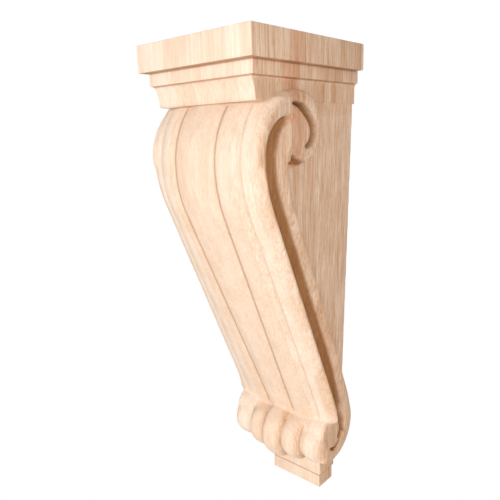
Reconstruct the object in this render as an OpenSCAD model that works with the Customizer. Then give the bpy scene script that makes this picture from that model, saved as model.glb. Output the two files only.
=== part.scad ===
// Scrolled wooden corbel: one carved block with a stepped cap, a lobed front strap that
// curls into a volute on each side, a rib behind the strap, a lobed roll and a small foot.
// X runs across the wall, -Y is forward, and the wall face lies in the plane Y = 0.

/* [Overall] */
// Height from the underside of the foot to the top of the cap
total_h = 711.2; // [700:0.1:730]
// Width across the cap, the strap and the volutes
full_w = 203.2; // [200:0.1:210]

/* [Cap and bands] */
// Reach of the cap from the wall
cap_d = 241.3; // [238:0.1:245]
// Thickness of the cap
cap_t = 35.5; // [30:0.5:40]
// Height of the band under the cap
band_t = 17.4; // [14:0.1:20]
// How far the band stands back from the cap at the sides
band_side_in = 9; // [7:0.5:11]
// How far the band stands back from the cap in front
band_front_in = 11.1; // [9:0.1:13]
// Height of the necking block under the band
block_t = 28.1; // [26:0.1:30]
// How far the block stands back from the cap at the sides
block_side_in = 14.7; // [13:0.1:16]
// How far the block stands back from the cap in front, at its top
block_top_in = 15; // [13:0.5:17]
// How far the block stands back from the cap in front, at its bottom
block_foot_in = 21.3; // [19:0.1:23]

/* [Body] */
// Half width of the body under the block
body_half_top = 85.6; // [83:0.1:88]
// How much each side of the body draws in for each millimetre down
body_draft = 0.034; // [0.02:0.001:0.04]

/* [Strap] */
// Reach of the strap's side edge at its belly
edge_reach = 220.3; // [216:0.1:222]
// Drop of the belly below the top of the cap
belly_drop = 147; // [144:0.5:150]
// Radius of the belly at the side edge
belly_r = 162; // [150:1:170]
// Lean of the straight run, in degrees from upright
lean = 23.7; // [23:0.1:24.5]
// Drop at which the straight run ends
run_end = 525; // [515:1:530]
// Radius of the curve at the foot of the strap
heel_r = 110; // [90:1:130]
// Reach of the crease beside the middle lobe at its belly
crease_reach = 241.7; // [236:0.1:243]
// Half width of the middle lobe at the top
lobe_top = 36; // [32:0.5:40]
// Half width of the middle lobe at the bottom
lobe_foot = 25; // [22:0.5:28]
// Distance from the middle to the crease beside the edge bead
bead_at = 72.5; // [70:0.5:75]
// Rise of the middle lobe over its creases
lobe_rise = 3.8; // [2:0.1:4]

/* [Volute] */
// Reach of the volute's centre
volute_reach = 146; // [144:0.5:148]
// Drop of the volute's centre
volute_drop = 112; // [110:0.5:114]
// Radius of the volute's back
volute_r = 46.5; // [44:0.5:48]
// Radius of the sweep from the volute's top to the belly
sweep_r = 86.5; // [84:0.5:88]
// Distance from the middle to the top of the rib
rib_level = 95; // [92:0.5:97]
// Distance from the middle to the face of the eye
eye_level = 99; // [97:0.5:100]

/* [Roll and foot] */
// Reach of the roll's axis
roll_reach = 67.5; // [66:0.5:70]
// Drop of the roll's axis
roll_drop = 602; // [600:0.5:604]
// Half length of the roll
roll_half = 91; // [89:0.5:93]
// Radius of the roll's middle lobe
roll_mid_r = 45; // [43:0.5:46]
// Radius of the lobes beside the middle
roll_side_r = 38.5; // [37:0.5:40]
// Radius of the end lobes
roll_end_r = 31.5; // [30:0.5:33]
// Half width of the foot
foot_half = 49.2; // [47:0.1:52]
// Reach of the foot from the wall
foot_d = 38; // [36:0.5:40]
// Height of the foot's lower step
step_h = 26; // [22:0.5:28]
// How far the lower step stands in from the foot above it
step_in = 3.4; // [2:0.1:4]

/* [Hidden] */
wood = [0.90, 0.76, 0.60];
top_z = total_h / 2;
half_w = full_w / 2;
$fn = 72;

band_drop = cap_t + band_t;
block_drop = band_drop + block_t;

// A point of the side view is given as [reach from the wall, drop below the top of the cap].
function side(p) = [-p[0], top_z - p[1]];
function polar(c, r, a) = [c[0] + r * cos(a), c[1] - r * sin(a)];
function arc(c, r, a0, a1, n) = [for (i = [0:n]) polar(c, r, a0 + (a1 - a0) * i / n)];
function mix(a, b, t) = a + (b - a) * t;
function clamp(t) = min(1, max(0, t));

// Side edge of the strap: belly arc, leaning straight run and a heel that turns upright.
belly_end = belly_drop + belly_r * sin(lean);
belly_end_reach = edge_reach - belly_r * (1 - cos(lean));
run_reach = belly_end_reach - (run_end - belly_end) * tan(lean);
heel_drop = run_end + heel_r * sin(lean);
heel_reach = run_reach - heel_r * (1 - cos(lean));
function edge(d) =
    d < belly_end ? edge_reach - belly_r + sqrt(pow(belly_r, 2) - pow(d - belly_drop, 2)) :
    d < run_end ? run_reach + (run_end - d) * tan(lean) :
    d < heel_drop ? heel_reach + heel_r - sqrt(pow(heel_r, 2) - pow(heel_drop - d, 2)) :
    heel_reach;

// Inner edge of the strap above the belly, where the groove turns over the eye.
turn_r = 50.3;
turn_c = [edge_reach - turn_r, belly_drop];

// Crease beside the middle lobe, as a reach at each drop.
crease_drop = 158;
crease_top_r = 112;
crease_belly_r = 158;
crease_lean = 24.4;
crease_end = crease_drop + crease_belly_r * sin(crease_lean);
crease_end_reach = crease_reach - crease_belly_r * (1 - cos(crease_lean));
function crease(d) =
    d < crease_drop ?
        crease_reach - crease_top_r + sqrt(pow(crease_top_r, 2) - pow(crease_drop - d, 2)) :
    d < crease_end ?
        crease_reach - crease_belly_r + sqrt(pow(crease_belly_r, 2) - pow(d - crease_drop, 2)) :
    min(crease_end_reach - (d - crease_end) * tan(crease_lean), edge(d) + 60);

// How far each line of the front lies behind the crease beside the middle lobe.
edge_back_top = crease_reach - edge_reach - 3;
function edge_back(d) = d < crease_drop ? edge_back_top : max(crease(d) - edge(d) - 3, 10);
function bead_crease_back(d) = 0.4 * edge_back(d);

function lobe_half(d) = mix(lobe_top, lobe_foot, clamp((d - 200) / 340));
function bulge(t, h) = h * (1 - pow(2 * t - 1, 2));

// Reach of the front at a distance x from the middle and a drop d.
function front(x, d) =
    let (a = abs(x), b = lobe_half(d), c = crease(d))
    a < b ? c + lobe_rise * (1 - pow(a / b, 2)) :
    a < bead_at ?
        let (t = (a - b) / (bead_at - b)) c - t * bead_crease_back(d) + bulge(t, 4) :
    let (t = (a - bead_at) / (half_w - bead_at))
    c - mix(bead_crease_back(d), edge_back(d), pow(t, 1.8)) + bulge(t, 2.5);

// Columns and rows of the strap's front. The columns crowd together towards the side edges.
crowd_from = 87.5;
columns = concat(
    [for (i = [0:5]) -half_w + (half_w - crowd_from) * pow(i / 5, 1.6)],
    [-80, -bead_at, -66, -58, -50, -43],
    [for (i = [-4:4]) i / 4],
    [43, 50, 58, 66, bead_at, 80],
    [for (i = [5:-1:0]) half_w - (half_w - crowd_from) * pow(i / 5, 1.6)]);
function column_x(v, d) = abs(v) <= 1 ? v * lobe_half(d) : v;
strap_from = block_drop - 6;
strap_to = 580;
rows = 52;
row_drops = [for (i = [0:rows]) mix(strap_from, strap_to, i / rows)];
function strap_back(d) =
    d < belly_drop - turn_r ? edge_reach - turn_r :
    d < belly_drop ? edge_reach - turn_r + sqrt(max(0, pow(turn_r, 2) - pow(belly_drop - d, 2))) :
    edge(d);

module strap() {
    nc = len(columns);
    ring = 2 * nc;
    points = [for (d = row_drops) each concat(
        [for (v = columns) let (x = column_x(v, d)) [x, -front(x, d), top_z - d]],
        [for (i = [nc - 1:-1:0]) [column_x(columns[i], d), -strap_back(d), top_z - d]])];
    skin = [for (r = [0:rows - 1], k = [0:ring - 1])
        let (a = r * ring + k, b = r * ring + (k + 1) % ring)
        each [[a, b, b + ring], [a, b + ring, a + ring]]];
    top = [for (k = [0:nc - 2]) each [[k + 1, k, ring - 1 - k], [k + 1, ring - 1 - k, ring - 2 - k]]];
    bottom = [for (t = top) [for (k = [2:-1:0]) rows * ring + t[k]]];
    polyhedron(points, concat(skin, top, bottom));
}

// Extrudes what it is given in the side view from one distance off the middle to another,
// on both sides.
module cheeks(from, to) {
    for (s = [0, 1]) mirror([s, 0, 0])
        translate([from, 0, 0]) rotate([90, 0, 90]) linear_extrude(to - from) children();
}
module outline(p) { polygon([for (q = p) side(q)]); }

module cap() {
    translate([-half_w, -cap_d, top_z - cap_t]) cube([full_w, cap_d, cap_t]);
    translate([-half_w + band_side_in, -cap_d + band_front_in, top_z - band_drop])
        cube([full_w - 2 * band_side_in, cap_d - band_front_in, band_t]);
}

module block() {
    half = half_w - block_side_in;
    outline = [[0, band_drop], [cap_d - block_top_in, band_drop],
        [cap_d - block_top_in - 3, band_drop + 6], [cap_d - block_foot_in + 0.6, block_drop - 7],
        [cap_d - block_foot_in, block_drop], [0, block_drop]];
    translate([-half, 0, 0]) rotate([90, 0, 90])
        linear_extrude(2 * half) polygon([for (p = outline) side(p)]);
}

// Body behind the strap: the side outline, thinned towards the foot by a tapered front view.
module body() {
    inside = 4;
    bottom_drop = 640;
    front_line = [for (d = [block_drop - 1:12:560]) [strap_back(d) + inside, d]];
    outline = concat([[0, block_drop - 1]], front_line,
        [[60, 600], [60, bottom_drop], [0, bottom_drop]]);
    low_half = body_half_top - body_draft * (bottom_drop - block_drop);
    intersection() {
        translate([-half_w, 0, 0]) rotate([90, 0, 90])
            linear_extrude(full_w) polygon([for (p = outline) side(p)]);
        rotate([90, 0, 0]) linear_extrude(cap_d + 10)
            polygon([[-body_half_top, top_z - block_drop + 1], [body_half_top, top_z - block_drop + 1],
                [low_half, top_z - bottom_drop], [-low_half, top_z - bottom_drop]]);
    }
}

// A smooth curve through a few points of the side view.
function spline(p, n = 5) = [for (i = [0:len(p) - 2], k = [0:n - 1])
    let (t = k / n, a = p[max(i - 1, 0)], b = p[i], c = p[i + 1], e = p[min(i + 2, len(p) - 1)])
    0.5 * (2 * b + (c - a) * t + (2 * a - 5 * b + 4 * c - e) * t * t
        + (3 * b - a - 3 * c + e) * t * t * t)];

// Groove between strap and rib: full width down the run, closing to a point over the eye.
groove_w = 24;
groove_inside = 0.6;
groove_tip = [147, 97];
module strap_groove() {
    outline(concat(
        [for (d = [500:-20:160]) [edge(d) + groove_inside, d]],
        arc(turn_c, turn_r + groove_inside, 0, 90, 16),
        [groove_tip],
        [for (i = [0:10]) let (a = 96 - 7.6 * i)
            polar(turn_c, turn_r - groove_w * (1 - pow((a - 20) / 76, 2)), a)],
        [for (d = [160:20:500]) [edge(d) - groove_w, d]]));
}

// Groove round the back of the eye.
module eye_groove() {
    outline(concat(
        spline([[173, 85], [160, 82.5], [144, 85], [128, 96], [117, 112], [118, 126], [128, 136],
            [141, 138]]),
        spline([[141, 138], [131, 131], [126, 118], [130, 106], [141, 98], [151, 90.5], [162, 86],
            [173, 85]])));
}

// Undercut beneath the curled end of the band, where it meets the rib.
module undercut() {
    outline(concat(
        spline([[168, 147], [158, 156.5], [146, 161], [132, 160], [121, 156]]),
        spline([[121, 156], [134, 156], [146, 154.5], [157, 151], [168, 147]])));
}

// Volute: the band that curls from the strap over the eye and under it.
volute_c = [volute_reach, volute_drop];
sweep_c = [volute_reach, volute_drop + sweep_r - volute_r];
module volute_outline(inset) {
    outline(concat(
        arc(sweep_c, sweep_r - inset, -5, 90, 24),
        arc(volute_c, volute_r - inset, 95, 290, 36)));
}

// Rib behind the groove, from the eye down to the heel.
rib_w = 26.5;
rib_ridge_w = 17;
module rib_outline(w) {
    outline(concat(
        [for (d = [130:20:510]) [edge(d) - groove_w + 1, d]],
        [for (d = [510:-20:150]) [edge(d) - groove_w - w, d]]));
}

// Volute and rib together, as layers that step outwards and stand in the grooves' walls.
rib_back_level = 88;
module scroll() {
    base = 60;
    cheeks(base, rib_back_level) difference() {
        union() {
            volute_outline(0);
            rib_outline(rib_w);
        }
        strap_groove();
        eye_groove();
        undercut();
    }
    cheeks(base, rib_level) difference() {
        union() {
            volute_outline(0);
            rib_outline(rib_ridge_w);
        }
        strap_groove();
        eye_groove();
        undercut();
    }
    for (l = [[eye_level, 2.5], [half_w, 6]])
        cheeks(base, l[0]) difference() {
            volute_outline(l[1]);
            strap_groove();
            eye_groove();
            undercut();
        }
}

// Heel: the rib's lower end wraps behind and under the roll and closes on a small round eye.
heel_c = [62, 574];
heel_out_r = 57;
heel_in_r = 33;
heel_level = 91;
heel_eye_c = [62.5, 583];
heel_eye_r = 25;
heel_pocket = 17;
module heel() {
    difference() {
        cheeks(-1, heel_level) outline(concat(
            [[heel_reach, 500], [edge(500) - groove_w - rib_w + 1, 500]],
            arc(heel_c, heel_out_r, 157, 294, 34), [[heel_c[0] + 23, 590], [heel_c[0] + 8, 585]]));
        cheeks(heel_level - heel_pocket, heel_level + 1) outline(concat(
            [[heel_reach + 14, 490], [edge(490) - groove_w, 490]],
            arc(heel_c, heel_in_r, 165, 290, 24), [[heel_reach + 14, 600]]));
    }
    cheeks(-1, heel_level - 1) outline(arc(heel_eye_c, heel_eye_r, 0, 350, 35));
}

// Roll across the foot of the strap, turned in five lobes about an axis along X. Each lobe
// swells from a valley to its crest and falls to the next valley.
function lobe_r(t, r, valley_r, box) = valley_r + (r - valley_r) * pow(1 - pow(t, box), 0.55);
function rise(valley, valley_r, crest, r, box = 2.4, n = 4) = [for (i = [n:-1:1])
    [mix(crest, valley, i / n), lobe_r(i / n, r, valley_r, box)]];
function fall(crest, r, valley, valley_r, box = 2.4, n = 4) = [for (i = [0:n - 1])
    [mix(crest, valley, i / n), lobe_r(i / n, r, valley_r, box)]];
module roll() {
    mid_valley = [19, 31];
    side_crest = 33;
    side_valley = [51, 24.5];
    end_crest = 72;
    end_r = 18;
    profile = concat(
        fall(0, roll_mid_r, mid_valley[0], mid_valley[1], 4),
        rise(mid_valley[0], mid_valley[1], side_crest, roll_side_r),
        fall(side_crest, roll_side_r, side_valley[0], side_valley[1]),
        rise(side_valley[0], side_valley[1], end_crest, roll_end_r),
        fall(end_crest, roll_end_r, roll_half, end_r, 2),
        [[roll_half, end_r], [roll_half, 0]]);
    for (s = [0, 1]) mirror([s, 0, 0])
        translate([0, -roll_reach, top_z - roll_drop]) rotate([0, 90, 0])
            rotate_extrude() polygon([for (p = concat([[0, 0]], profile)) [p[1], p[0]]]);
}

module foot() {
    foot_top = 600;
    upper = total_h - foot_top - step_h;
    translate([-foot_half - step_in, -foot_d - step_in, -top_z + step_h])
        cube([2 * (foot_half + step_in), foot_d + step_in, upper]);
    translate([-foot_half, -foot_d, -top_z]) cube([2 * foot_half, foot_d, step_h + 1]);
}

module corbel() {
    pocket_depth = 9;
    color(wood) {
        cap();
        block();
        strap();
        difference() {
            body();
            cheeks(body_half_top - 3 - pocket_depth, half_w) undercut();
        }
        scroll();
        heel();
        roll();
        foot();
    }
}

corbel();
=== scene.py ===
from math import cos, hypot, pi, radians, sin, sqrt, tan

import bmesh
import bpy
from mathutils import Matrix, Vector


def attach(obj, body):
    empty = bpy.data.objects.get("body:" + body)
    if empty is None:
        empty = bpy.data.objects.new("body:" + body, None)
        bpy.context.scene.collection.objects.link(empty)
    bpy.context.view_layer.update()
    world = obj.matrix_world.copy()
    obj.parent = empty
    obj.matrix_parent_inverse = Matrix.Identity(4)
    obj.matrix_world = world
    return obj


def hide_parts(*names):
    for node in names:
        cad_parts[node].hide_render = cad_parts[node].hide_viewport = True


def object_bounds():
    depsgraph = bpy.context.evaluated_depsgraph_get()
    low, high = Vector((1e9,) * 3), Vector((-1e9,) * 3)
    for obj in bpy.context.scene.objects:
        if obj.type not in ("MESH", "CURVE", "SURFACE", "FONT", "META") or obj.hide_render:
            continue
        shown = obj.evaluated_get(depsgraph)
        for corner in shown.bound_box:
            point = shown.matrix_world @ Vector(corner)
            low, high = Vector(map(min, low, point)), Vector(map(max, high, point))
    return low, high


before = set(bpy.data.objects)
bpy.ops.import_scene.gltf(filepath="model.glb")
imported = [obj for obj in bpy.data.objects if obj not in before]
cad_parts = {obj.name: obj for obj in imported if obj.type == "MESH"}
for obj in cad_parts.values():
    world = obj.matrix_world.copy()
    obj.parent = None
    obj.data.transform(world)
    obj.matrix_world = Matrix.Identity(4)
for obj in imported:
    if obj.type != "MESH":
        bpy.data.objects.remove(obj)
cad_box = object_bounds()

# Strap: the band that runs down the front, with a middle lobe between two creases, a flat
# flank on each side and a round bead along each edge. It is cut from one block of pale
# hardwood, as is all that follows: closed solids are joined, grooved and worn smooth.
mm = 0.001
total = round((cad_box[1][2] - cad_box[0][2]) / mm, 1)
half_width = round(cad_box[1][0] / mm, 1)
belly_drop, belly_r, edge_reach = 147, 162, 220.3
lean, run_end, heel_r = 23.7, 525, 110
belly_end = belly_drop + belly_r * sin(radians(lean))
belly_end_reach = edge_reach - belly_r * (1 - cos(radians(lean)))
run_reach = belly_end_reach - (run_end - belly_end) * tan(radians(lean))
heel_drop = run_end + heel_r * sin(radians(lean))
heel_reach = run_reach - heel_r * (1 - cos(radians(lean)))
turn_r = 50.3
turn_centre = (edge_reach - turn_r, belly_drop)


def at(x, reach, drop):
    """A point, from its distance off the middle, reach from the wall and drop below the top."""
    return Vector((x, -reach, total / 2 - drop)) * mm


def reach_and_drop(vertex):
    """A vertex's reach from the wall and drop below the top, in millimetres."""
    return -vertex.co.y / mm, total / 2 - vertex.co.z / mm


def mix(a, b, t):
    return a + (b - a) * t


def ease(t):
    t = min(1, max(0, t))
    return t * t * (3 - 2 * t)


def edge(d):
    """Reach of the strap's side edge at a drop."""
    if d < belly_end:
        return edge_reach - belly_r + sqrt(max(0, belly_r**2 - (d - belly_drop) ** 2))
    if d < run_end:
        return run_reach + (run_end - d) * tan(radians(lean))
    if d < heel_drop:
        return heel_reach + heel_r - sqrt(heel_r**2 - (heel_drop - d) ** 2)
    return heel_reach


def strap_back(d):
    """Reach of the strap's rear at a drop: its edge, or the turn that it makes over the eye."""
    if d >= belly_drop:
        return edge(d)
    return turn_centre[0] + sqrt(max(0, turn_r**2 - (belly_drop - d) ** 2))


crease_drop, crease_reach, crease_top_r, crease_belly_r, crease_lean = 158, 241.7, 112, 158, 24.4
crease_proud = 60
crease_end = crease_drop + crease_belly_r * sin(radians(crease_lean))
crease_end_reach = crease_reach - crease_belly_r * (1 - cos(radians(crease_lean)))


def crease(d):
    """Reach of the crease beside the middle lobe at a drop."""
    if d < crease_drop:
        return crease_reach - crease_top_r + sqrt(crease_top_r**2 - (crease_drop - d) ** 2)
    if d < crease_end:
        return crease_reach - crease_belly_r + sqrt(crease_belly_r**2 - (d - crease_drop) ** 2)
    return min(crease_end_reach - (d - crease_end) * tan(radians(crease_lean)), edge(d) + crease_proud)


lobe_wide, lobe_narrow, narrows_from, narrows_over = 36, 25, 200, 340
lobe_rise, lobe_curve = 3.6, 2.4
crease_deep, crease_wide = 2.2, 3.4
flank_fall, flank_bulge = 0.40, 4
bead_at, bead_middle, bead_curve, bead_bulge = 72.5, 87.5, 1.35, 1.2
bead_line_deep, bead_line_wide = 0.8, 2.5
edge_back_top, edge_back_least, edge_back_less = 18.4, 10, 3


def lobe_half(d):
    return mix(lobe_wide, lobe_narrow, min(1, max(0, (d - narrows_from) / narrows_over)))


def edge_back(d):
    """How far the strap's edge stands back from its creases at a drop."""
    if d < crease_drop:
        return edge_back_top
    return max(crease(d) - edge(d) - edge_back_less, edge_back_least)


def front(x, d):
    """Reach of the strap's front at a distance off the middle and a drop."""
    a, b, c, back = abs(x), lobe_half(d), crease(d), edge_back(d)
    notch = crease_deep * max(0, 1 - abs(a - b) / crease_wide)
    if a < b:
        return c + lobe_rise * (1 - (a / b) ** lobe_curve) - notch
    if a < bead_at:
        t = (a - b) / (bead_at - b)
        return c - t * flank_fall * back + flank_bulge * (1 - (2 * t - 1) ** 2) - notch
    t = min(1, (a - bead_at) / (half_width - bead_at))
    line = bead_line_deep * max(0, 1 - (a - bead_at) / bead_line_wide)
    return c - mix(flank_fall, 1, t**bead_curve) * back + bead_bulge * (1 - (2 * t - 1) ** 2) - line


def finished(bm, name):
    """Makes the mesh an object, with its doubles merged and its faces turned outwards."""
    bmesh.ops.remove_doubles(bm, verts=bm.verts, dist=1e-6)
    bmesh.ops.recalc_face_normals(bm, faces=bm.faces)
    mesh = bpy.data.meshes.new(name)
    bm.to_mesh(mesh)
    bm.free()
    piece = bpy.data.objects.new(name, mesh)
    bpy.context.collection.objects.link(piece)
    return piece


strap_from, strap_to, strap_sunk = 76, 585, 1
foot_tuck, tuck_from, tuck_over = 0.16, 560, 10
columns, rows, edge_crowding = 96, 170, 1.8
bm = bmesh.new()
bmesh.ops.create_grid(bm, x_segments=columns, y_segments=rows, size=1)
for i, vertex in enumerate(bm.verts):
    row, column = divmod(i, columns + 1)
    d = mix(strap_from, strap_to, row / rows)
    b = lobe_half(d)
    stops = [-half_width, -bead_middle, -bead_at, -b, 0, b, bead_at, bead_middle, half_width]
    bands = len(stops) - 1
    band = min(column * bands // columns, bands - 1)
    t = column * bands / columns - band
    if band == 0:
        t = t**edge_crowding
    if band == bands - 1:
        t = 1 - (1 - t) ** edge_crowding
    x = mix(stops[band], stops[band + 1], t)
    narrow = 1 - foot_tuck * ease((d - tuck_from) / tuck_over)
    vertex.co = at(x * narrow, front(x, d), d)
wall = bmesh.ops.extrude_face_region(bm, geom=list(bm.faces))
for vertex in [v for v in wall["geom"] if isinstance(v, bmesh.types.BMVert)]:
    vertex.co.y = -(strap_back(reach_and_drop(vertex)[1]) - strap_sunk) * mm
corbel = finished(bm, "corbel_carved")

# Body: the plain tapered wedge of the same wood between the strap and the wall. It reaches a
# little way into the strap, so that no gap is left behind the grooves.
body_half, body_drop, draft = 85.6, 81, 0.034
body_from, body_to, lap = 70, 590, 4
toe_reach, toe_drop = 60, 640


def apply(piece):
    """Makes the piece's modifiers part of its mesh."""
    bpy.context.view_layer.update()
    graph = bpy.context.evaluated_depsgraph_get()
    mesh = bpy.data.meshes.new_from_object(piece.evaluated_get(graph))
    piece.modifiers.clear()
    piece.data = mesh


def combine(piece, other, operation):
    modifier = piece.modifiers.new("cut", "BOOLEAN")
    modifier.operation, modifier.solver, modifier.object = operation, "MANIFOLD", other
    apply(piece)
    bpy.data.objects.remove(other)


bm = bmesh.new()
outline = [(0, body_from)]
outline += [(strap_back(max(d, 100)) + lap, d) for d in range(body_from, body_to, 10)]
outline += [(toe_reach, toe_drop), (0, toe_drop)]
face = bm.faces.new([bm.verts.new(at(-1, *p)) for p in outline])
wall = bmesh.ops.extrude_face_region(bm, geom=[face])
for vertex in [v for v in wall["geom"] if isinstance(v, bmesh.types.BMVert)]:
    vertex.co.x = mm
for vertex in bm.verts:
    vertex.co.x *= body_half - draft * (reach_and_drop(vertex)[1] - body_drop)
combine(corbel, finished(bm, "body"), "UNION")

# Volutes: on each side the strap's bead turns over and curls down behind the eye. Each is a
# flat scroll with a rounded rim, whose steps give the height and the inset of that rim.
eye_centre, eye_r = (146, 112), 46.5
sweep_centre, sweep_r = (146, 152), 86.5
volute_steps = [(60, 0), (88, 0), (93, 0.5), (96.5, 1.8), (99, 3.8), (100.7, 6.4), (101.6, 10)]


def polar(centre, radius, angle):
    return (centre[0] + radius * cos(radians(angle)), centre[1] - radius * sin(radians(angle)))


def loft(rings, name):
    """A closed solid through rings of equally many points."""
    count = len(rings[0])
    bm = bmesh.new()
    bmesh.ops.create_grid(bm, x_segments=count, y_segments=len(rings) - 1, size=1)
    for i, vertex in enumerate(bm.verts):
        row, column = divmod(i, count + 1)
        vertex.co = rings[row][column % count]
    bmesh.ops.remove_doubles(bm, verts=bm.verts, dist=1e-7)
    bmesh.ops.holes_fill(bm, edges=[e for e in bm.edges if e.is_boundary])
    bmesh.ops.triangulate(bm, faces=[f for f in bm.faces if len(f.verts) > 4])
    return finished(bm, name)


def both_cheeks(make, name, operation):
    """Makes a solid for the right cheek and its mirror image, and joins or cuts with both."""
    cheeks = [make(1, name + "_right"), make(-1, name + "_left")]
    for cheek in cheeks:
        combine(corbel, cheek, operation)


def volute(s, name):
    rings = []
    for level, inset in volute_steps:
        ring = [polar(sweep_centre, sweep_r - inset, a) for a in range(-5, 90, 5)]
        ring += [polar(eye_centre, eye_r - inset, a) for a in range(90, 291, 8)]
        rings.append([at(s * level, *p) for p in ring])
    return loft(rings, name)


both_cheeks(volute, "volute", "UNION")

# Ribs: from under each eye a rounded rib runs down behind the groove, wraps round behind the
# roll and comes forward under it. Its tops give the height across it, from the groove back.
groove_wide, rib_from, rib_to = 33, 24, 51.5
heel_centre, heel_in, heel_out = (62, 574), 33, 57
rib_tops = [(-0.25, 97), (0, 97), (0.72, 97), (0.82, 95.8), (0.9, 93.6), (0.97, 90), (1, 85)]
root = 60
rib_low_out, rib_low_in, rib_low_share = 91, 94, 0.9
volute_tuck = 12
stations = [((edge(d) - rib_from, d), (edge(d) - rib_to, d)) for d in range(125, 536, 10)]
stations += [(polar(heel_centre, heel_in, a), polar(heel_centre, heel_out, a))
             for a in range(158, 300, 6)]


def rib(s, name):
    rings = []
    for inner, outer in stations:
        low = ease((inner[1] - 430) / 130)
        fall = ease((150 - inner[1]) / 25) * volute_tuck
        points = []
        for t, level in [(-0.25, root)] + rib_tops + [(1, root)]:
            if level != root:
                target = mix(rib_low_out, rib_low_in, 1 - t)
                level = level - low * (level - target) * rib_low_share - fall
            points.append(at(s * level, mix(inner[0], outer[0], t), mix(inner[1], outer[1], t)))
        rings.append(points)
    return loft(rings, name)


both_cheeks(rib, "rib", "UNION")

# Heel plates: the flat end that each rib closes on, in front of its wrap. They are the same
# wood, and level with the rib's outer rim there.
plate_level = 91


def heel_plate(s, name):
    ring = [(70, 585), (85, 590)] + [polar(heel_centre, heel_out, a) for a in range(294, 224, -6)]
    return loft([[at(s * level, *p) for p in ring] for level in (root, plate_level)], name)


both_cheeks(heel_plate, "heel_plate", "UNION")

# Heel eyes: the small round ends inside the wrapped ribs, of the same wood, with their rims
# just rounded.
drum_centre, drum_r, drum_level = (62.5, 584), 25, 90
drum_steps = [(40, 0), (drum_level - 2, 0), (drum_level - 0.6, 0.7), (drum_level, 2.2)]


def drum(s, name):
    rings = []
    for level, inset in drum_steps:
        rings.append([at(s * level, *polar(drum_centre, drum_r - inset, a)) for a in range(0, 360, 6)])
    return loft(rings, name)


both_cheeks(drum, "drum", "UNION")

# Roll: the five-lobed roll across the foot of the strap. Its outline is turned about a level
# axis, from the middle lobe over a side lobe to the half lobe at each end.
roll_at = (67.5, 602.5)
mid_r, side_crest, side_r, end_crest, end_r = 45, 33, 38.5, 72, 31.5
roll_half, tip_r = 91, 18
mid_valley, side_valley = (19, 31), (51, 24.5)


def lobe_side(crest, r, valley, valley_r, box=3.2, steps=9):
    """Points from a lobe's crest down to the valley beside it."""
    turns = [i / steps for i in range(steps + 1)]
    return [(mix(crest, valley, t), valley_r + (r - valley_r) * (1 - t**box) ** 0.55) for t in turns]


profile = lobe_side(0, mid_r, *mid_valley, box=4)
profile += lobe_side(side_crest, side_r, *mid_valley)[::-1]
profile += lobe_side(side_crest, side_r, *side_valley)
profile += lobe_side(end_crest, end_r, *side_valley)[::-1]
profile += lobe_side(end_crest, end_r, roll_half, tip_r, box=2) + [(roll_half, 0)]
chain = [(-x, r) for x, r in reversed(profile)] + profile[1:]
bm = bmesh.new()
verts = [bm.verts.new(at(x, roll_at[0] + r, roll_at[1])) for x, r in chain]
edges = [bm.edges.new(pair) for pair in zip(verts, verts[1:])]
bmesh.ops.spin(bm, geom=verts + edges, cent=at(0, *roll_at), axis=(1, 0, 0), angle=2 * pi,
               steps=96, use_merge=True)
combine(corbel, finished(bm, "roll"), "UNION")

# Grooves: a deep groove follows the strap's edge from a fine tip over the eye to a hook under
# the heel's eye. A round-nosed cutter leaves it steep in front and flared behind.
groove_deep, groove_tip, groove_foot = 20, 2.4, 29
clear_of_wood = 106
front_line = [(147, 96.6), (153, 96.2), (160, 96.1)]
back_line = [(147, 97.0), (153, 97.4), (160, 98.2)]
for a in range(96, 0, -6):
    width = groove_wide * (1 - (max(0, a - 20) / 76) ** 2)
    front_line.append(polar(turn_centre, turn_r, a))
    back_line.append(polar(turn_centre, turn_r - max(width, groove_tip), a))
for d in range(147, 540, 8):
    front_line.append((edge(d), d))
    back_line.append((edge(d) - mix(groove_wide, groove_foot, ease((d - 430) / 100)), d))
front_line += [(edge(548), 548), (edge(556), 556)]
back_line += [polar(heel_centre, heel_in, 148), polar(heel_centre, heel_in, 160)]
for i in range(6):
    front_line.append(polar(drum_centre, drum_r, mix(100, 184, i / 5)))
    back_line.append(polar(heel_centre, heel_in + 0.4, mix(166, 212, i / 5)))


def strap_groove(s, name):
    rings = []
    for (front_reach, front_drop), (back_reach, back_drop) in zip(front_line, back_line):
        width = hypot(front_reach - back_reach, front_drop - back_drop)
        full = min(1, width / groove_wide)
        heel = ease((back_drop - 470) / 90)
        depth = groove_deep * min(1, 0.12 + full * 1.1)
        base = mix(99, 94, heel)
        flare = full * mix(1, 0.35, heel)
        section = [(0, clear_of_wood), (0.4, 102), (1.2, 100), (2.0, base - 4 - depth * 0.1)]
        section += [(width * u, base - depth * share) for u, share in
                    ((0.12, 0.5), (0.3, 0.88), (0.55, 1), (0.8, 0.93), (0.93, 0.74))]
        section += [(width + u * flare, base - below * full) for u, below in
                    ((0, 9.5), (3, 7), (6.5, 4.6), (10, 2.4), (12.5, 0.6))]
        section += [(width + 15 * flare, base + 3), (width + 16 * flare + 1, clear_of_wood)]
        along_reach = (back_reach - front_reach) / width
        along_drop = (back_drop - front_drop) / width
        rings.append([at(s * level, front_reach + along_reach * u, front_drop + along_drop * u)
                      for u, level in section])
    return loft(rings, name)


both_cheeks(strap_groove, "groove", "DIFFERENCE")

# Eye groove: a crescent cut round the back of each eye. Its depth grows with its width, so
# that both of its ends run out to a point.
outer_line = [(174, 84.5), (157.5, 81.6), (138, 85), (123.5, 95.6), (112.6, 112), (113.4, 126),
              (122.5, 136), (134, 140), (143, 138.6)]
inner_line = [(172.8, 85.5), (160, 86.5), (149, 92.5), (141, 99.5), (134.5, 106), (129.5, 115),
              (130.7, 126), (136.5, 133.7), (143, 137)]


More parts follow.
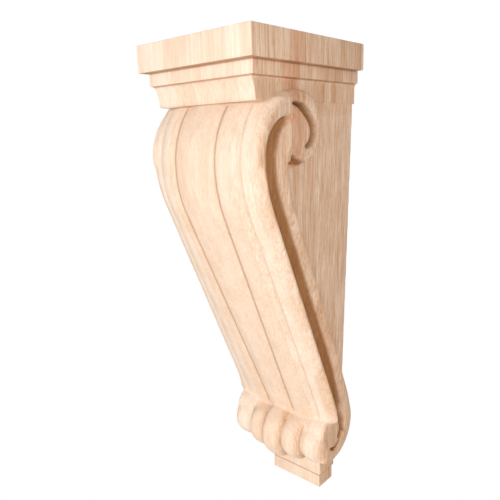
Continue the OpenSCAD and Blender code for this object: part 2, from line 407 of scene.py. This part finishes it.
def smooth_line(points, steps=6):
    """A rounded line through a few points."""
    points = [Vector(p) for p in points]
    line = []
    for i in range(len(points) - 1):
        a, b, c, e = points[max(i - 1, 0)], points[i], points[i + 1], points[min(i + 2, len(points) - 1)]
        for k in range(steps):
            t = k / steps
            line.append(0.5 * (2 * b + (c - a) * t + (2 * a - 5 * b + 4 * c - e) * t * t
                               + (3 * b - a - 3 * c + e) * t**3))
    return line + [points[-1]]


def cut_crescents(outer, inner, depth, face_level, name):
    """Cuts a hollow between two lines into the face of each cheek."""
    def crescent(s, name):
        rings = []
        for p, q in zip(smooth_line(outer), smooth_line(inner)):
            width = max((q - p).length, 0.3)
            deep = depth * min(1, 0.1 + width / 10)
            section = [(-0.08, face_level + 6), (-0.02, face_level), (0.08, face_level - deep * 0.4),
                       (0.3, face_level - deep * 0.85), (0.6, face_level - deep),
                       (0.86, face_level - deep * 0.9), (0.97, face_level - deep * 0.55),
                       (1.02, face_level - 1), (1.1, face_level + 6)]
            rings.append([at(s * level, *(p + (q - p) * t)) for t, level in section])
        return loft(rings, name)

    both_cheeks(crescent, name, "DIFFERENCE")


cut_crescents(outer_line, inner_line, 20, 100.5, "eye_groove")

# Hook: the groove's lower end, a narrow curl cut under each heel's eye with a small cutter.
# It parts the eye from the rib that wraps it.
hook_low = [(33.5, 580), (36.5, 592), (43, 601.5), (50, 608.5), (62, 612), (74, 603.5)]
hook_high = [(38, 580), (41, 589.5), (47, 597.5), (53, 603), (62, 605.5), (73, 602)]
cut_crescents(hook_low, hook_high, 12, 92, "hook")

# Undercut: the pocket under each volute's curled end, where the band rolls in over the rib.
# It is about as deep as the groove that it opens into.
under_low = [(169.5, 148), (166.5, 152.5), (158.5, 157.5), (147, 160.5), (133, 160.5), (120, 156.5)]
under_high = [(168, 145), (161.5, 147), (154, 150.5), (145, 154), (133, 157), (120, 155.5)]
cut_crescents(under_low, under_high, 21, 98, "undercut")

# Sanding: the joined carving becomes one even skin, is worn smooth all over, creases and
# rims too, and is then thinned to fewer faces.
skin_grain = 1.3 * mm
most_triangles = 150000
even_skin = corbel.modifiers.new("even_skin", "REMESH")
even_skin.mode, even_skin.voxel_size = "VOXEL", skin_grain
sanding = corbel.modifiers.new("sanding", "SMOOTH")
sanding.factor, sanding.iterations = 0.5, 63
apply(corbel)
thinned = corbel.modifiers.new("thinned", "DECIMATE")
thinned.ratio = min(1, most_triangles / (2 * len(corbel.data.polygons)))
apply(corbel)

# Each rib grows out of the face of its volute with no step.
joint_from, joint_to, rib_face = 125, 185, 96.8
for vertex in corbel.data.vertices:
    reach, drop = reach_and_drop(vertex)
    if joint_from < drop < joint_to and reach < edge(drop) - 3:
        limit = mix(half_width, rib_face, ease((drop - 126) / 34)) * mm
        vertex.co.x = max(-limit, min(limit, vertex.co.x))

# Cap: a square slab over a band and a coved necking block, all of the same block of wood.
# Their edges are only just broken, so they join the carving after it is sanded.
cap_reach, cap_foot = 241.3, 35.5
band_inset, band_reach, band_foot = 9, 230.2, 52.9
block_corner = 0.8
block_steps = [(48, 11.5, 228), (53, 11.8, 227.8), (54.5, 13.3, 226.6), (57, 14.4, 225.2),
               (61, 14.7, 223.6), (67, 14.7, 221.7), (74, 14.7, 220.6), (80.2, 14.7, 220),
               (81, 15.4, 219.4)]


def slab(half, reach, top, bottom, name, rounding=1.1):
    bm = bmesh.new()
    bmesh.ops.create_cube(bm, size=1)
    for vertex in bm.verts:
        x, y, z = vertex.co
        vertex.co = at(2 * half * x, reach * (0.5 - y), mix(bottom, top, z + 0.5))
    bmesh.ops.bevel(bm, geom=bm.edges[:], affect="EDGES", offset=rounding * mm, segments=3,
                    profile=0.5, material=-1)
    return finished(bm, name)


combine(corbel, slab(half_width, cap_reach, 0, cap_foot, "cap"), "UNION")
combine(corbel, slab(half_width - band_inset, band_reach, 30, band_foot, "band"), "UNION")
rings = []
for drop, inset, reach in block_steps:
    half = half_width - inset
    right = [(half - block_corner, reach), (half, reach - block_corner), (half, 0)]
    left = [(-x, r) for x, r in reversed(right)]
    rings.append([at(x, r, drop) for x, r in left + right])
combine(corbel, loft(rings, "block"), "UNION")

# Foot: a small stepped block under the heel, of the same wood and with the same edges as
# the cap.
foot_half, foot_reach, foot_drop = 52.6, 41.4, 685.2
step_half, step_reach = 49.2, 38
combine(corbel, slab(foot_half, foot_reach, 590, foot_drop, "foot", 0.9), "UNION")
combine(corbel, slab(step_half, step_reach, 676, total, "step", 0.9), "UNION")

corbel.name = corbel.data.name = "corbel_carved"
corbel.data.shade_smooth()
corbel.data.set_sharp_from_angle(angle=radians(38))
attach(corbel, "root")
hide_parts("corbel")

# Hollows: the grooves, creases and valleys get painted shade, a darker colour standing in for the
# shade that falls in them, which an attribute of the mesh holds from 0 to 1.
cheek_root, cheek_face, cheek_fade = 60, 96.5, 4
crease_shade, crease_blur = 0.8, 2.6
bead_shade, bead_blur = 0.35, 2.4
valley_shade, valley_blur = 0.5, 3
shade_rounds = 2
hollows = [front_line + back_line[::-1]]
for low, high in [(outer_line, inner_line), (under_low, under_high), (hook_low, hook_high)]:
    hollows.append(smooth_line(low) + smooth_line(high)[::-1])


def inside(reach, drop, shape):
    odd = False
    for i in range(len(shape)):
        (r0, d0), (r1, d1) = shape[i - 1], shape[i]
        if (d0 > drop) != (d1 > drop) and reach < r0 + (r1 - r0) * (drop - d0) / (d1 - d0):
            odd = not odd
    return odd


def grooved(x, reach, drop):
    """How deep in a groove a point lies, from 0 to 1, which sets its painted shade."""
    if cheek_root < abs(x) < cheek_face and any(inside(reach, drop, shape) for shape in hollows):
        return min(1, (cheek_face - abs(x)) / cheek_fade)
    return 0


def creased(x, reach, drop):
    """How much painted shade a point gets from lying close to a crease of the strap or a valley of the
    roll, from 0 to 1.
    """
    x, found = abs(x), 0
    if 85 < drop < 572 and reach > front(x, drop) - 4:
        found = max(crease_shade * (1 - abs(x - lobe_half(drop)) / crease_blur),
                    bead_shade * (1 - abs(x - bead_at) / bead_blur))
        found *= ease((566 - drop) / 16)
    if drop > 572 and reach > 60:
        away = min(abs(x - mid_valley[0]), abs(x - side_valley[0]))
        found = valley_shade * (1 - away / valley_blur)
    return max(0, found)


spots = [(vertex.co.x / mm, *reach_and_drop(vertex)) for vertex in corbel.data.vertices]
shade = corbel.data.attributes.new("painted_shade", "FLOAT", "POINT")
tones = [grooved(*spot) for spot in spots]
for _ in range(shade_rounds):
    sums = [[tone, 1] for tone in tones]
    for side in corbel.data.edges:
        a, b = side.vertices
        sums[a][0] += tones[b]
        sums[b][0] += tones[a]
        sums[a][1] += 1
        sums[b][1] += 1
    tones = [whole / count for whole, count in sums]
for value, tone, spot in zip(shade.data, tones, spots):
    value.value = max(tone, creased(*spot))

# The corners of long flat faces get no painted shade, or it would bleed across the face.
long_side = 22 * mm
for side in corbel.data.edges:
    a, b = side.vertices
    if (corbel.data.vertices[a].co - corbel.data.vertices[b].co).length > long_side:
        shade.data[a].value = shade.data[b].value = 0

# Wood: bare pale hardwood, sanded and not varnished, with fine upright grain, a broader
# figure and small pores.
wood = bpy.data.materials.new("pale_hardwood")
wood.use_nodes = True
tree = wood.node_tree
shader = tree.nodes["Principled BSDF"]


def node(kind, feeds=(), **settings):
    """A node of the wood, with its settings made and its inputs fed."""
    made = tree.nodes.new("ShaderNode" + kind)
    for name, value in settings.items():
        setattr(made, name, value)
    for socket, value in dict(feeds).items():
        if isinstance(value, bpy.types.NodeSocket):
            tree.links.new(value, made.inputs[socket])
        else:
            made.inputs[socket].default_value = value
    return made


place = node("TexCoord").outputs["Object"]
apart = node("SeparateXYZ", {"Vector": place}).outputs


def grain(stretch, size, detail, offset=0):
    """Noise that runs along the grain of the wood."""
    drawn = node("Mapping", {"Vector": place, "Scale": (1, 1, stretch), "Location": (offset, offset, 0)})
    feeds = {"Vector": drawn.outputs[0], "Scale": size, "Detail": detail, "Roughness": 0.6}
    return node("TexNoise", feeds).outputs[0]


def spread(value, low, high, to_low, to_high):
    feeds = {"Value": value, "From Min": low, "From Max": high, "To Min": to_low, "To Max": to_high}
    return node("MapRange", feeds).outputs[0]


def times(a, b):
    return node("Math", {0: a, 1: b}, operation="MULTIPLY").outputs[0]


def between(value, low, high, low_edge, high_edge):
    """1 from low to high, and 0 past the soft edges outside them."""
    return times(spread(value, low - low_edge, low, 0, 1), spread(value, high, high + high_edge, 1, 0))


def size_of(value):
    return node("Math", {0: value}, operation="ABSOLUTE").outputs[0]


def stained(colour, stain, amount):
    feeds = {0: amount, 6: colour, 7: stain}
    return node("Mix", feeds, data_type="RGBA", blend_type="MULTIPLY").outputs[2]


# Staves: the block is glued up from upright staves that differ a little in tone, one of them
# reddish. Only the outermost boards are parted from front to back too.
outer_row = spread(size_of(apart["X"]), 0.085, 0.0852, 0, 1)
board = node("CombineXYZ", {"X": apart["X"], "Y": times(apart["Y"], outer_row)})
board = node("Mapping", {"Vector": board.outputs[0], "Location": (0.011, 0.006, 0)})
stave = node("VectorMath", {0: board.outputs[0], 1: (0.037, 0.033, 1)}, operation="SNAP")
stave_tone = node("TexWhiteNoise", {"Vector": stave.outputs[0]}).outputs["Value"]
red_depth = between(apart["Y"], -0.1705, -0.1405, 0.002, 0.002)
red_stave = times(red_depth, times(spread(apart["X"], 0.055, 0.06, 0, 1),
                                   spread(apart["Z"], 0.185, 0.205, 0, 1)))
fine, figure, blotch = grain(0.035, 430, 4), grain(0.10, 75, 3, 3), grain(0.45, 42, 4, 7)
pores = spread(grain(0.07, 1250, 2, 5), 0.56, 0.70, 0, 1)

# Partly painted light and shade: the grain is real, but its strength is painted by facing, full and
# darker on the sides, which stand in shade, and paler and softer on the carved front, which the light
# strikes.
facing = node("SeparateXYZ", {"Vector": node("NewGeometry").outputs["Normal"]}).outputs["X"]
clear = spread(size_of(facing), 0.25, 0.9, 0.4, 1.0)

pale = (0.87, 0.775, 0.675, 1)
colour = stained(pale, (0.90, 0.81, 0.73, 1), stave_tone)
colour = stained(colour, (0.90, 0.73, 0.64, 1), times(red_stave, 0.75))
colour = stained(colour, (0.78, 0.64, 0.50, 1), times(spread(fine, 0.38, 0.66, 0, 1), clear))
colour = stained(colour, (0.86, 0.75, 0.66, 1), times(spread(figure, 0.38, 0.68, 0, 1), clear))
colour = stained(colour, (0.95, 0.90, 0.85, 1), spread(blotch, 0.40, 0.66, 0, 0.6))
colour = stained(colour, (0.66, 0.49, 0.35, 1), times(pores, times(clear, 0.7)))
# Painted shade: the attribute darkens the wood to a deep brown in the grooves, creases and valleys.
painted_shade = node("Attribute", attribute_name="painted_shade").outputs["Fac"]
colour = stained(colour, (0.46, 0.29, 0.13, 1), painted_shade)

# Painted shadow: fine dark lines under the cap, the band and the foot's upper step stand in for the
# shade below their edges, but not on the back.
carved = spread(apart["Y"], -0.006, -0.004, 1, 0)
for drop, thick in [(cap_foot, 1.5), (band_foot, 1.3), (foot_drop, 4.5)]:
    top, bottom = (total / 2 - drop) * mm, (total / 2 - drop - thick) * mm
    line = between(apart["Z"], bottom, top, 0.0005, 0.0002)
    colour = stained(colour, (0.62, 0.44, 0.30, 1), times(times(line, carved), 0.8))
tree.links.new(colour, shader.inputs["Base Color"])
tree.links.new(spread(fine, 0.3, 0.7, 0.66, 0.5), shader.inputs["Roughness"])
relief = node("Math", {0: fine, 1: times(pores, -0.6)}, operation="ADD").outputs[0]
bump = node("Bump", {"Height": relief, "Strength": 0.35, "Distance": 0.0004})
tree.links.new(bump.outputs[0], shader.inputs["Normal"])
corbel.data.materials.clear()
corbel.data.materials.append(wood)

# Floor and studio: a plain pale floor below the corbel and a warm, even room. The camera
# sees both as white, and the wood is lit by them as they are.
floor_height = -0.75


def white_to_camera(tree, lit, white, end):
    """Shows the camera the white shader, and everything else the lit one."""
    seen, pick = tree.nodes.new("ShaderNodeLightPath"), tree.nodes.new("ShaderNodeMixShader")
    tree.links.new(seen.outputs["Is Camera Ray"], pick.inputs["Fac"])
    tree.links.new(lit, pick.inputs[1])
    tree.links.new(white, pick.inputs[2])
    tree.links.new(pick.outputs["Shader"], end)


bm = bmesh.new()
bmesh.ops.create_grid(bm, x_segments=1, y_segments=1, size=12)
floor = finished(bm, "floor")
floor.data.transform(Matrix.Translation((0, 0, floor_height)))
plain = bpy.data.materials.new("plain_white")
plain.use_nodes = True
nodes = plain.node_tree.nodes
nodes["Principled BSDF"].inputs["Base Color"].default_value = (0.9, 0.9, 0.9, 1)
glow = nodes.new("ShaderNodeEmission")
white_to_camera(plain.node_tree, nodes["Principled BSDF"].outputs["BSDF"], glow.outputs["Emission"],
                nodes["Material Output"].inputs["Surface"])
floor.data.materials.append(plain)

sky = bpy.data.worlds.new("studio")
bpy.context.scene.world = sky
sky.use_nodes = True
nodes = sky.node_tree.nodes
nodes["Background"].inputs["Color"].default_value = (1, 0.93, 0.87, 1)
nodes["Background"].inputs["Strength"].default_value = 0.42
white = nodes.new("ShaderNodeBackground")
white.inputs["Color"].default_value = (1, 1, 1, 1)
white_to_camera(sky.node_tree, nodes["Background"].outputs["Background"], white.outputs["Background"],
                nodes["World Output"].inputs["Surface"])

# Camera: it stands in front and to the right, above the corbel's middle, looks down by
# twelve degrees and is tilted by under two.
camera_at = (0.499352, -0.698788, 0.233819)
azimuth, elevation, tilt = radians(41.844), radians(12.203), radians(-1.851)
behind = Vector((sin(azimuth) * cos(elevation), -cos(azimuth) * cos(elevation), sin(elevation)))
level_right = Vector((cos(azimuth), sin(azimuth), 0))
level_up = level_right.cross(-behind)
rightward = cos(tilt) * level_right + sin(tilt) * level_up
upward = -sin(tilt) * level_right + cos(tilt) * level_up
lens = bpy.data.cameras.new("camera")
lens.sensor_width, lens.lens = 36, 37.916928
camera = bpy.data.objects.new("camera", lens)
camera.matrix_world = Matrix((rightward, upward, behind)).transposed().to_4x4()
camera.location = camera_at
bpy.context.collection.objects.link(camera)
bpy.context.scene.camera = camera

# Lamps: a soft cool key from the front left and a broad warm fill from the right, both aimed
# a little below the middle of the corbel.
corbel_middle = (0, -0.1, -0.05)


def lamp(name, place, size, power, tint):
    light = bpy.data.lights.new(name, "AREA")
    light.shape, light.size, light.energy, light.color = "DISK", size, power, tint
    holder = bpy.data.objects.new(name, light)
    holder.location = place
    holder.rotation_euler = (Vector(corbel_middle) - Vector(place)).to_track_quat("-Z", "Y").to_euler()
    bpy.context.collection.objects.link(holder)


lamp("key", (-0.7, -2.85, 0.55), 1.5, 48.5, (0.97, 1, 1.03))
lamp("fill", (2.05, -1.75, 0.4), 2.0, 36, (1, 0.785, 0.64))
bpy.context.scene.view_settings.view_transform = "Standard"
